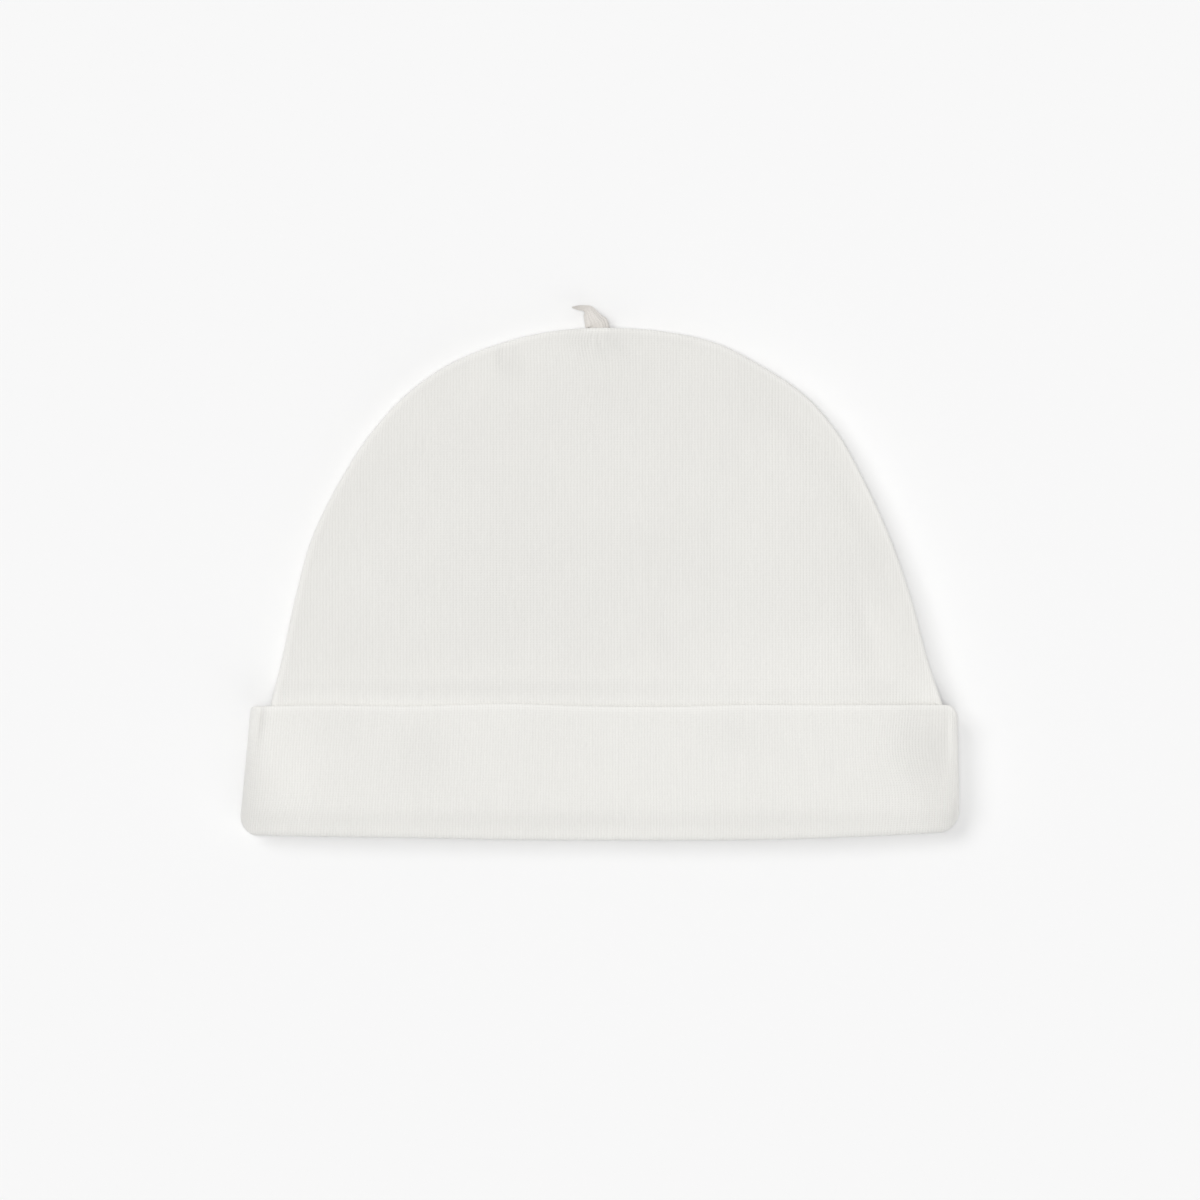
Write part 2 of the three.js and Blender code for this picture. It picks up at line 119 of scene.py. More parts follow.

# %% [markdown]
# ## Folds and painted light and shade, one row each
# Cloth that has been lying about keeps soft dents and swells. They could be sculpted by hand, but a
# table is easier to check against the cap: each row is one low hill or valley. A second table paints
# light and shade into the cloth's colour, a few hundredths lighter or darker in places: lighter on
# swells and at edges, darker in hollows and creases. The ribs lean where the cloth was pulled.

# %% The soft folds
# x, y as shares of half the width and of the height; length and width in centimetres; turn in
# degrees; rise in mm
crown_folds = [
    (-0.3, 0.93, 0.45, 0.22, 0, -1), (-0.02, 0.972, 0.35, 0.3, -20, -0.6),
    (-0.11, 0.955, 0.4, 0.35, 0, 0.5), (0.6, 0.73, 1.5, 0.45, 42, -0.7),
    (0.77, 0.5, 1.2, 0.3, 24, -0.6), (0.785, 0.2, 1.3, 0.4, 9, -1.1),
    (0.9, 0.13, 0.9, 0.35, 12, 0.4), (0.54, 0.15, 0.8, 1.9, 0, 1),
    (0.322, 0.38, 1.5, 0.2, 0, -0.35), (0.205, 0.22, 0.6, 0.28, -15, -0.6),
    (0.12, 0.14, 0.5, 0.5, 0, 0.5), (-0.33, 0.06, 0.35, 4, 0, -0.4),
    (0.6, 0.02, 0.2, 3.4, 0, -0.35),
]
cuff_folds = [
    (-0.87, 0.55, 1.5, 0.4, 0, 0.5), (-0.5, 0.65, 0.9, 0.7, 0, -0.35),
    (-0.6, 0.28, 0.4, 1.5, 0, 0.3), (0.41, 0.8, 0.7, 0.6, 0, -0.3),
    (0.91, 0.78, 1.1, 0.6, 0, -2), (0.973, 0.85, 0.9, 0.12, 0, 1),
    (-0.94, 0.9, 0.6, 0.08, -5, -0.8), (-0.1, 0.06, 0.3, 1.6, 0, -0.4),
]

# %% Painted light and shade, and leaning ribs
# the first five as above, and how much lighter the cloth is painted there, as a share: painted light
# where positive, painted shade where negative
crown_painted_patches = [
    (0.62, 0.142, 1.3, 2.6, 0, 0.03), (0.02, 0.971, 0.45, 0.5, 0, -0.045),
    (-0.284, 0.91, 0.5, 0.3, 0, -0.05), (0, -0.01, 0.8, 40, 0, 0.05),
    (0.5, 0.56, 1.3, 1.8, 0, 0.02), (0.75, 0.65, 1.2, 0.6, 30, 0.02),
    (-0.85, -0.01, 0.6, 1.2, 0, 0.03), (-0.6, -0.005, 0.12, 3, 0, 0.05),
    (0.97, 0.08, 1, 0.4, 10, 0.04), (0.8, 0.33, 0.9, 0.4, 10, -0.025),
    (-0.3, 0.9, 0.8, 1.5, 40, 0.015),
]
# painted light and shade on the cuff: positive rows paint light, negative rows paint shade
cuff_painted_patches = [
    (0.92, 0.74, 0.8, 0.6, 0, -0.075), (0, 0.15, 0.3, 40, 0, -0.025),
    (-0.95, 0.8, 0.9, 0.6, 0, 0.035), (0.95, 0.3, 1.6, 0.5, 0, -0.05),
    (-0.84, 0.5, 1.3, 0.5, 0, 0.03), (0.975, 0.8, 0.7, 0.13, 0, 0.1),
    (-0.942, 0.87, 0.5, 0.06, -6, -0.12), (-0.963, 0.87, 0.5, 0.1, -6, 0.05),
    (-0.97, 0.3, 1.2, 0.5, 0, -0.045), (-0.48, 0.65, 0.8, 0.7, 0, -0.03),
    (0.38, 0.8, 0.5, 0.7, 0, -0.02),
]
# x, y as above; reach in centimetres; how the ribs lean there, in degrees to the right
crown_leans = [(-0.07, 0.93, 0.9, -9)]
cuff_leans = [(0.85, 0.5, 1, -14), (-0.86, 0.2, 0.8, 9)]
print(len(crown_folds), "folds on the crown,", len(cuff_folds), "on the cuff")


# %% [markdown]
# ## Lines and levels
# Soft cloth has no straight lines. Each edge is a smooth curve through a few table rows, and each
# fold is a low rounded hill or valley. NumPy computes them for whole grids of points at once, which
# is much quicker than a loop over points in Python.

# %% Smooth steps and curves through a table
def smooth(value):
    value = np.clip(value, 0, 1)
    return value * value * (3 - 2 * value)


def mix(a, b, share):
    return a + (b - a) * share


def curve_through(places, values, at):
    """A smooth curve through a table's rows, flat beyond its ends."""
    slopes = np.gradient(values, places)
    at = np.clip(at, places[0], places[-1])
    k = np.clip(np.searchsorted(places, at) - 1, 0, len(places) - 2)
    step = places[k + 1] - places[k]
    t = (at - places[k]) / step
    start, end = values[k], values[k + 1]
    bend_in, bend_out = slopes[k] * step, slopes[k + 1] * step
    cubic = (2 * start - 2 * end + bend_in + bend_out) * t ** 3
    return cubic + (3 * end - 3 * start - 2 * bend_in - bend_out) * t ** 2 + bend_in * t + start


def on_its_side(side, curve, *places):
    """The left or the right version of a curve, by the side that each point is on."""
    return np.where(side < 0, curve(-1, *places), curve(1, *places))


def corner_rise(distance, radius):
    """How far a corner rounded to that radius draws back at a distance from its end."""
    inside = np.maximum(0, radius - distance)
    return radius - np.sqrt(radius * radius - inside * inside)


def rounded(inside, fullness):
    """Share of the full height at a share of the way round a rim, for that fullness."""
    return (1 - (1 - inside) ** fullness) ** (1 / fullness)


# %% The cuff's edges, seen from above
def cuff_side(side, y):
    widest = bottom_corner[side]
    taper = cuff_taper[side] * np.clip((y - widest) / (cuff_height - widest), 0, 1)
    return side * (cuff_width / 2 - taper)


def fold_line(side, x, distance):
    hem = curve_through(cuff_lines[:, 0], cuff_lines[:, 1], x / (cuff_width / 2))
    return fold_radius + hem_sag * hem + corner_rise(distance, bottom_corner[side])


def lower_edge(side, x, distance):
    return fold_line(side, x, distance) + wall + layer_gap


def top_line(side, x, distance):
    edge = curve_through(cuff_lines[:, 0], cuff_lines[:, 2], x / (cuff_width / 2))
    return cuff_height + edge_wave * edge - corner_rise(distance, top_corner[side])


# %% Hills and valleys from a table's rows
def relief(folds, half_width, height, centre, foot, x, y):
    total = np.zeros(np.shape(x))
    for fold_x, fold_y, along, wide, turn, rise in folds:
        dx, dy = x - centre - fold_x * half_width, y - foot - fold_y * height
        c, s = math.cos(math.radians(turn)), math.sin(math.radians(turn))
        lengthways, sideways = (c * dy - s * dx) / (10 * along), (c * dx + s * dy) / (10 * wide)
        total += rise * np.exp(-lengthways ** 2 - sideways ** 2)
    return total


def crown_relief(x, y):
    return relief(crown_folds, crown_half, dome_height, crown_offset, dome_foot, x, y)


def cuff_relief(x, y):
    return relief(cuff_folds, cuff_width / 2, cuff_height, 0, 0, x, y)


# painted light and shade on the crown: the table's patches, and painted light at the rim
def crown_painted_shading(x, y, distance):
    soft = relief(crown_painted_patches, crown_half, dome_height, crown_offset, dome_foot, x, y)
    return soft + rim_painted_light * np.exp(-((distance / rim_painted_light_width) ** 2))


# painted light and shade on the cuff: the table's patches, and painted light at the right rim and along
# the top edge
def cuff_painted_shading(x, y, distance, from_edge):
    soft = relief(cuff_painted_patches, cuff_width / 2, cuff_height, 0, 0, x, y)
    rim = cuff_rim_painted_share * np.exp(-((distance / rim_painted_light_width) ** 2)) * (x > 0)
    edge = cuff_edge_painted_share * np.exp(-((from_edge / rim_painted_light_width) ** 2))
    return soft + rim_painted_light * np.maximum(rim, edge)


# %% Ribs that lean, and the gathers that fan out below the stem
def leaning(leans, half_width, height, centre, foot, x, y):
    """How far the ribs' lean moves a point sideways."""
    total = np.zeros(np.shape(x))
    for lean_x, lean_y, reach, degrees in leans:
        dx, dy = x - centre - lean_x * half_width, y - foot - lean_y * height
        total += math.tan(math.radians(degrees)) * dy * np.exp(-(dx * dx + dy * dy) / (10 * reach) ** 2)
    return total


def gathers(x, y):
    down = stem_foot[1] - y
    reach = np.hypot(x - stem_foot[0], down)
    fan = np.arctan2(x - stem_foot[0], np.maximum(down, wall))
    fading = np.exp(-((reach / gather_reach) ** 2)) * smooth(down / gather_start)
    return gather_rise * np.cos(gather_count * fan) * fading


# %% The cuff's leaf thins towards its top edge, and its hem droops
def towards_edge(y):
    return smooth((y - dome_foot + edge_thinning_from) / edge_thinning)


def leaf_wall(y):
    return mix(wall, edge_wall, towards_edge(y))


def leaf_gap(y):
    return mix(layer_gap, edge_gap, towards_edge(y))


def droop(y):
    return hem_droop * (1 - smooth(y / droop_reach))


def fullness_inside(rightward, y):
    """How full the sides are inside the cuff, from 0 at the left to 1 at the right; towards the hem
    they get rounder, so that the hem's corners close."""
    full = mix(cuff_fullness[-1], cuff_fullness[1], rightward)
    return mix(hem_fullness, full, smooth((y - hem_round_from) / hem_round_reach))


# %% How high the crown's cloth lies
def free_share(y):
    return smooth((y - dome_foot) / settle_length)


def crown_level(face, x, y):
    if face < 0:
        return mix(inside_cuff, 0, free_share(y))
    up = np.clip((y - dome_foot) / dome_height, 0, 1)
    free = mix(crown_thickness, crown_top_thickness, up * up) + crown_relief(x, y) + gathers(x, y)
    inside = cuff_thickness - leaf_wall(y) - leaf_gap(y) + cuff_relief(x, y) - droop(y)
    return mix(inside, free, free_share(y))


# %% [markdown]
# ## The crown's seam
# The two panels meet in a seam that runs up one side, over the dome and down the other side. Seen
# from above it is the cap's outline. It could be drawn as a Bezier curve, but the panels need to know
# how far each of their points is from it, so it is kept as a row of close points. The part of it
# inside the cuff is nearly straight, and the dome's part is a curve through the outline's table.

# %% The seam line
def through(points, steps=30):
    """A centripetal curve through points; the last point only steers its end."""
    points = [2 * points[0] - points[1], *points]
    line = []
    for a, b, c, d in zip(points, points[1:], points[2:], points[3:]):
        ab, bc, cd = (math.sqrt(np.linalg.norm(q - p)) for p, q in ((a, b), (b, c), (c, d)))
        bend_in = ((b - a) / ab - (c - a) / (ab + bc) + (c - b) / bc) * bc
        bend_out = ((c - b) / bc - (d - b) / (bc + cd) + (d - c) / cd) * bc
        for t in np.arange(steps) / steps:
            cubic = (2 * b - 2 * c + bend_in + bend_out) * t ** 3
            line.append(cubic + (3 * c - 3 * b - 2 * bend_in - bend_out) * t ** 2 + bend_in * t + b)
    return np.array([*line, points[-2]])


def rim_inside_cuff(side, share):
    """The seam from the crown's lower edge, at share 0, to the dome's foot, at share 1."""
    y = mix(lower_edge(side, side * cuff_width / 2, 0), dome_foot, share)
    x = mix(cuff_side(side, y) - side * inside_cuff, crown_offset + side * crown_half, share)
    return x, y


def dome_rim(side):
    near, far = (1, 2) if side < 0 else (2, 1)
    points = [np.array((side * crown_half * row[near], dome_height * row[0])) for row in dome_outline]
    last = dome_outline[-1]
    past_top = np.array((-side * crown_half * last[far], dome_height * last[0]))
    points += [np.array((0, dome_height)), past_top]
    return through(points) + (crown_offset, dome_foot)


rims = {side: dome_rim(side) for side in (-1, 1)}
# it starts one length below the crown's edge, so that the points there have a seam beside them too
rim_shares = np.linspace(-1, 1, 61)[:-1]
low_rims = {side: np.column_stack(rim_inside_cuff(side, rim_shares)) for side in (-1, 1)}
seam_line = np.vstack([low_rims[-1], rims[-1], rims[1][::-1][1:], low_rims[1][::-1]])
print(len(seam_line), "points on the seam, highest y", round(seam_line[:, 1].max(), 2))


# %% How far a point lies inside the seam
points_at_once = 4000


def nearest_on_seam(x, y):
    """Distance to the seam, its nearest point and the way inward from it, for flat arrays x and y."""
    start, step = seam_line[:-1], np.diff(seam_line, axis=0)
    length2 = (step ** 2).sum(1)
    square_on = np.column_stack((step[:, 1], -step[:, 0])) / np.sqrt(length2)[:, None]
    distance, foot, inward = np.empty(len(x)), np.empty((len(x), 2)), np.empty((len(x), 2))
    for first in range(0, len(x), points_at_once):
        batch = slice(first, first + points_at_once)
        p = np.column_stack((x[batch], y[batch]))
        t = np.clip(((p[:, None] - start) * step).sum(2) / length2, 0, 1)
        q = start + t[..., None] * step
        gap = ((p[:, None] - q) ** 2).sum(2)
        best = gap.argmin(1)
        rows = np.arange(len(p))
        distance[batch] = np.sqrt(gap[rows, best])
        foot[batch] = q[rows, best]
        inward[batch] = square_on[best]
    distance[distance < on_seam] = 0
    return distance, foot, inward


def stem_gap(x, y):
    """How far each panel stands off from the seam where the stem comes out between them."""
    across = (x - stem_foot[0]) / (stem_width / 2 + stem_slack)
    opening = stem_opening * np.sqrt(np.maximum(0, 1 - across * across))
    return np.where(y < stem_foot[1] - stem_width, 0, opening)


# %% [markdown]
# ## A grid that follows the knitting
# Interlock is knitted in wales, fine upright ribs, about 13 to the centimetre. A grid whose columns
# run along the wales lets each rib be real relief, and it gives a UV map in which one unit is one
# stitch. A grid of rings round the dome would be easier to close, but ribs would cross its edges and
# break up. Each column here runs straight up from the crown's lower edge and ends where it meets the
# seam, as a wale does in a panel cut from flat cloth.

# %% Columns along the wales, rows along the courses
# the stitches' width on the crown and on the cuff, and their height, in mm
crown_wale, cuff_wale, course = 0.78, 0.73, 0.62
columns_per_wale = 3


def wale_columns(half, rounding, wale):
    """Distance in from the side for each column, its side of the middle, and its wale number."""
    flat, arc = half - rounding, rounding * math.pi / 2
    count = round((flat + arc) / wale)
    number = np.arange(-count * columns_per_wale, count * columns_per_wale + 1) / columns_per_wale
    reach = np.abs(number) * (flat + arc) / count
    turn = np.clip(math.pi / 2 * (1 - (reach - flat) / arc), 0, math.pi / 2)
    inward = np.where(reach < flat, half - reach, rounding * (1 - np.cos(turn)))
    return inward, np.where(number < 0, -1, 1), number


def dome_rows(count):
    """Shares of a column's height, close together above the cuff and very close at the seam."""
    v = np.linspace(0, 1, 2000)
    above_cuff = 0.9 * np.exp(-((v / 0.08) ** 2)) + 7 * np.exp(-((v / 0.008) ** 2))
    crowding = 0.5 + above_cuff + 0.5 / np.sqrt(1 - v + 1e-4)
    total = np.concatenate(([0], np.cumsum((crowding[1:] + crowding[:-1]) / 2)))
    return np.interp(np.linspace(0, total[-1], count + 1), total, v)


# %% The crown's grid, seen from above
def crown_grid(inside_rows, rows):
    """Places in rows from the lower edge to the seam over the dome, and each column's wale number."""
    inward, side, number = wale_columns(crown_half, crown_round, crown_wale)
    xs, ys = [], []
    for share in np.linspace(0, 1, inside_rows + 1)[:-1]:
        left_rim, right_rim = rim_inside_cuff(-1, share), rim_inside_cuff(1, share)
        rim_x = np.where(side < 0, left_rim[0], right_rim[0])
        x = crown_offset + (rim_x - crown_offset) * (1 - inward / crown_half)
        y = mix(on_its_side(side, lower_edge, x, np.abs(rim_x - x)), dome_foot, share)
        y[0], y[-1] = left_rim[1], right_rim[1]
        xs.append(x)
        ys.append(y)
    x = crown_offset + side * (crown_half - inward)
    across = np.abs(x - crown_offset)
    tops = {s: np.interp(across, *np.abs(rims[s] - (crown_offset, 0))[::-1].T) for s in (-1, 1)}
    top = np.where(side < 0, tops[-1], tops[1])
    for share in dome_rows(rows):
        xs.append(x)
        ys.append(mix(dome_foot, top, share))
    return np.array(xs), np.array(ys), number


# %% The crown's cloth, raised from the grid
def crown_surface(face, x, y, depth):
    """The crown's cloth at that depth in its wall, as points; how far they are from the seam; and
    how far the cloth that hangs down at the seam would reach past them if it lay flat."""
    distance, foot, square_on = nearest_on_seam(x.ravel(), y.ravel())
    distance = distance.reshape(x.shape)
    foot, square_on = foot.reshape(*x.shape, 2), square_on.reshape(*x.shape, 2)
    inside = np.minimum(distance / crown_round, 1)
    rightward = smooth(foot[..., 0] / crown_half / 2 + 0.5)
    free_fullness = mix(crown_fullness[-1], crown_fullness[1], rightward)
    rise = rounded(inside, mix(fullness_inside(rightward, y), free_fullness, towards_edge(y)))
    inward = np.stack((crown_offset - foot[..., 0], dome_middle - foot[..., 1]), -1)
    inward[..., 1] = np.where(foot[..., 1] < dome_foot, 0, inward[..., 1])
    inward /= np.linalg.norm(inward, axis=-1, keepdims=True)
    lean = leaning(crown_leans, crown_half, dome_height, crown_offset, dome_foot, x, y)
    px = x + inward[..., 0] * depth * (1 - inside) + lean * smooth(distance / lean_fade)
    py = y + inward[..., 1] * depth * (1 - inside)
    rim_z = mix(cuff_seam_level, crown_seam_level, free_share(foot[..., 1]))
    rim_z = rim_z + face * (seam_gap / 2 + stem_gap(foot[..., 0], foot[..., 1]))
    level = crown_level(face, x, y)
    level = level + depth if face < 0 else level - swell_rise - depth
    z = mix(rim_z, level, rise) + (swell_rise * smooth(distance / swell_width) if face > 0 else 0)
    hang = -square_on * (np.abs(level - rim_z) * (1 - rise))[..., None]
    return np.stack((px, py, z), -1), distance, hang


# %% [markdown]
# ## From grids to meshes
# A knitted panel is a wall about 1.4 mm thick, so each piece is a closed shell: an outer grid, an
# inner grid and the rims that join them. The Solidify modifier could do that, but it would thicken
# the fine ribs too and pinch at the seam. Here the inner grid is computed, with fewer rows. Each mesh
# also carries what the ribs and the cloth's colour are read from later: three attributes on its
# points, one of them the painted light and shade, and a UV map in which one unit is one stitch.

# %% Make one cloth mesh from points and faces
box_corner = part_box("cuff_front")
right_end = float(fold_line(1, np.array(cuff_width / 2), 0.0))
shift = np.array((box_corner[1].x / MM - float(cuff_side(1, right_end)), box_corner[0].y / MM, 0.0))
print("cuff's middle lies at x, y =", shift[:2].round(3))


def quads(rows):
    """Faces between neighbouring rows of vertex numbers."""
    return np.stack((rows[:-1, :-1], rows[:-1, 1:], rows[1:, 1:], rows[1:, :-1]), -1).reshape(-1, 4)


def cloth_mesh(name, points, faces, wales, courses, relief_share, painted_shading, ends=()):
    """A mesh object with its place in its mesh, a knit UV map, the attributes that the ribs read and the
    painted light and shade that the material reads.
    """
    points = (points + shift) * MM
    a, b, c, d = (points[faces[:, k]] for k in range(4))
    volume = np.einsum("ij,ij->i", a, np.cross(b, c)) + np.einsum("ij,ij->i", a, np.cross(c, d))
    volume = volume.sum() / 6
    if volume < 0:
        faces = faces[:, ::-1]
        ends = [end[::-1] for end in ends]
    mesh = bpy.data.meshes.new(name)
    mesh.from_pydata(points.tolist(), [], faces.tolist() + [list(map(int, end)) for end in ends])
    mesh.validate()
    mesh.polygons.foreach_set("use_smooth", np.ones(len(mesh.polygons), bool))
    # the last attribute is painted light and shade, which the material multiplies into the colour
    for key, values in (("wale", wales), ("relief", relief_share), ("painted_light_shade", painted_shading)):
        layer = mesh.attributes.new(key, "FLOAT", "POINT")
        layer.data.foreach_set("value", np.asarray(values, np.float32))
    corner = np.empty(len(mesh.loops), np.int32)
    mesh.loops.foreach_get("vertex_index", corner)
    uv = np.column_stack((wales[corner], courses[corner])).astype(np.float32)
    mesh.uv_layers.new(name="knit").data.foreach_set("uv", uv.ravel())
    piece = bpy.data.objects.new(name, mesh)
    bpy.context.scene.collection.objects.link(piece)
    print(name, len(points), "points,", round(abs(volume) * 1e6, 2), "cm3 of cloth")
    return piece


# %% [markdown]
# ## The two crown panels
# Front and back panel are the same cut. The front one swells over the hollow cap and carries the
# soft folds; the back one is flattened where it lies. Both are built by one function, and the face
# that it is given, 1 for the front and -1 for the back, decides which way it bulges. At the seam the
# cloth hangs down the side. Seen from above its ribs would bunch up there, so the UV map counts on
# over the edge, as if the cloth lay flat, and the ribs of both panels meet at the seam.

# %% Build the crown panels
rows_in_cuff, rows_on_dome, inner_step = 8, 92, 4
# the ribs are flat at the seam and fade in over the second length; they start inside the cuff
flat_at_seam, fade_at_seam, fade_in_cuff = 0.3, 1.5, 3.0


def crown_panel(name, face):
    x, y, number = crown_grid(rows_in_cuff, rows_on_dome)
    outer, distance, hang = crown_surface(face, x, y, 0)
    keep = np.r_[:rows_in_cuff, rows_in_cuff:rows_on_dome + 1:inner_step, len(y) - 1]
    inner, _, hang_in = crown_surface(face, x[keep], y[keep], wall)
    rows = np.arange(outer[..., 0].size).reshape(x.shape)
    rows_in = np.arange(inner[..., 0].size).reshape(len(keep), -1) + rows.size
    side = slice(0, rows_in_cuff + 1)
    faces = [
        quads(rows), quads(rows_in)[:, ::-1],
        quads(np.stack((rows_in[0], rows[0]))), quads(np.stack((rows[-1], rows_in[-1]))),
        quads(np.stack((rows[side, 0], rows_in[side, 0]))),
        quads(np.stack((rows_in[side, -1], rows[side, -1]))),
    ]
    points = np.vstack((outer.reshape(-1, 3), inner.reshape(-1, 3)))
    wales, courses = [], []
    for height, reach in ((y, hang), (y[keep], hang_in)):
        wales.append((number + reach[..., 0] / crown_wale).ravel())
        courses.append((height + reach[..., 1]).ravel() / course)
    ribbed = smooth((distance - flat_at_seam) / fade_at_seam)
    ribbed = ribbed * smooth((y - dome_foot + fade_in_cuff) / fade_in_cuff)
    shares = np.concatenate((ribbed.ravel(), np.zeros(inner[..., 0].size)))
    # painted light and shade for the colour, the same on the inner grid
    painted_shading = crown_painted_shading(x, y, distance)
    painted_shading = np.concatenate((painted_shading.ravel(), painted_shading[keep].ravel()))
    wales, courses = np.concatenate(wales), np.concatenate(courses)
    return cloth_mesh(name, points, np.vstack(faces), wales, courses, shares, painted_shading)


crown_front = crown_panel("Front_crown_panel", 1)
crown_back = crown_panel("Back_crown_panel", -1)


# %% [markdown]
# ## The turned-up cuff
# The lower end of each panel is turned up on the outside. Its section is a long leaf, a round bend
# at the hem and a short stub inside. The section is swept across the cap with a column for each
# third of a wale, and round the bend at each side. A Bezier sweep would do for a straight cuff; here
# the hem sags, the ends taper and their corners are round, so the sweep is computed. The cloth's cut
# edge stands up a little as a lip.

# %% The cuff's section
edge_steps, leaf_rows, leaf_crowding, fold_steps, back_rows = 9, 27, 1.15, 15, 9


def cuff_section():
    """Depth in the wall, share of the way from the fold to the top edge, and a step from there."""
    edge = np.linspace(0, math.pi, edge_steps)
    points = [(wall / 2 * (1 + math.cos(t)), 1, wall / 2 * math.sin(t)) for t in edge]
    leaf = 1 - np.linspace(0, 1, leaf_rows)[1:-1] ** leaf_crowding
    points += [(0, share, 0) for share in leaf]
    fold = np.linspace(0, math.pi, fold_steps)
    points += [(fold_radius * (1 - math.cos(t)), 0, -fold_radius * math.sin(t)) for t in fold]
    points += [(2 * fold_radius, 0, wall), (inside_cuff, 0, wall), (inside_cuff, 0, 0)]
    points += [(wall, share, 0) for share in np.linspace(0, 1, back_rows)[:-1]]
    return np.array(points)


# %% The section's sweep across the cap
lip_rise, lip_width = 0.22, 0.9


def cuff_surface(face, side, turn, further, section):
    """Points of the cuff's sections, one row for each station across the cap."""
    depth, share, step = (section[:, k][None] for k in range(3))
    edge_scale = np.where(share == 1, edge_wall / wall, 1)
    turn, further, side = turn[:, None], further[:, None], side[:, None]
    x_plan = side * mix(cuff_width / 2 - side_round * (1 - np.cos(turn)), 0, further)
    distance = cuff_width / 2 - np.abs(x_plan)
    low = on_its_side(side, fold_line, x_plan, distance)
    high = on_its_side(side, top_line, x_plan, distance) + edge_lift - edge_wall / 2
    y = mix(low, high, share) + step * edge_scale
    depth = depth * np.where(depth > wall + 0.01, 1, leaf_wall(y) / wall)
    edge = on_its_side(side, cuff_side, y)
    bend = depth + (side_round - depth) * (1 - np.cos(turn))
    x = edge - side * mix(bend, np.abs(edge), further)
    rim_z = cuff_seam_level + face * seam_gap / 2
    inside = 1 - np.cos(turn)
    rise = rounded(inside, fullness_inside(side > 0, y))
    if face < 0:
        z = mix(rim_z, depth, rise)
    else:
        lip = lip_rise * np.exp(-(((high - y) / lip_width) ** 2)) * (section[:, 0] < wall / 2)
        shoulder = cuff_thickness + cuff_relief(x, y) - swell_rise - depth - droop(y)
        z = mix(rim_z, shoulder, rise) + swell_rise * smooth((distance - depth) / swell_width)
        z = z + lip * rise
    lean = leaning(cuff_leans, cuff_width / 2, cuff_height, 0, 0, x, y)
    x = x + lean * smooth((distance - depth) / lean_fade)
    # painted light and shade for the cuff's colour
    painted_shading = cuff_painted_shading(x, y, distance, high - y)
    return np.stack((x, y, z), -1), painted_shading


# %% Build the cuff's halves
# lengths over which the ribs fade in from the side seam and from the top edge
fade_at_side, fade_at_edge = 0.5, 1.5


def cuff_half(name, face):
    inward, side, number = wale_columns(cuff_width / 2, side_round, cuff_wale)
    turn = np.arccos(np.clip(1 - inward / side_round, 0, 1))
    further = np.clip((inward - side_round) / (cuff_width / 2 - side_round), 0, 1)
    section = cuff_section()
    points, painted_shading = cuff_surface(face, side, turn, further, section)
    count = len(section)
    rows = np.arange(points[..., 0].size).reshape(points.shape[:2])
    around = np.column_stack((rows, rows[:, 0]))
    length = np.linalg.norm(np.diff(points[len(points) // 2], axis=0), axis=1)
    courses = np.concatenate(([0], np.cumsum(length))) / course
    seen = (section[:, 0] < wall / 2) | (section[:, 1] == 0) & (section[:, 2] < 0)
    off_seam = smooth(inward / fade_at_side)
    off_edge = smooth((1 - section[:, 1]) * cuff_height / fade_at_edge)
    shares = (off_seam[:, None] * (seen * off_edge)[None]).ravel()
    ends = [rows[0][::-1], rows[-1]]
    wales = np.repeat(number, count)
    courses = np.tile(courses, len(rows))
    points, painted_shading = points.reshape(-1, 3), painted_shading.ravel()
    return cloth_mesh(name, points, quads(around), wales, courses, shares, painted_shading, ends)


cuff_front = cuff_half("Cuff_front", 1)
cuff_back = cuff_half("Cuff_back", -1)


# %% [markdown]
# ## The stem
# At the top a raw end of cloth is caught in the seam. It curls up into a small roll with a hooked,
# flattened tip that leans to the left. It is lofted along a curve through nine places, with a width
# and a thickness at each, and a crease runs down its front where the roll's edge lies.

# %% Build the stem
# rise and lean as shares of stem_height, width and thickness as shares of theirs, lift
stem_sections = np.array([
    (-0.85, 0.0, 0.95, 0.8, 0), (0.1, 0.06, 0.98, 0.95, 0.05), (0.28, 0.15, 0.83, 1.0, 0.1),
    (0.46, 0.24, 0.7, 1.0, 0.15), (0.64, 0.32, 0.57, 0.9, 0.2), (0.79, 0.41, 0.43, 0.7, 0.3),
    (0.885, 0.6, 0.25, 0.4, 0.4), (0.905, 0.88, 0.19, 0.25, 0.45), (0.93, 1.155, 0.05, 0.15, 0.45),
])
crease_depth, crease_width, lobe_depth, lobes, stem_wales = 0.25, 0.4, 0.05, 5, 18


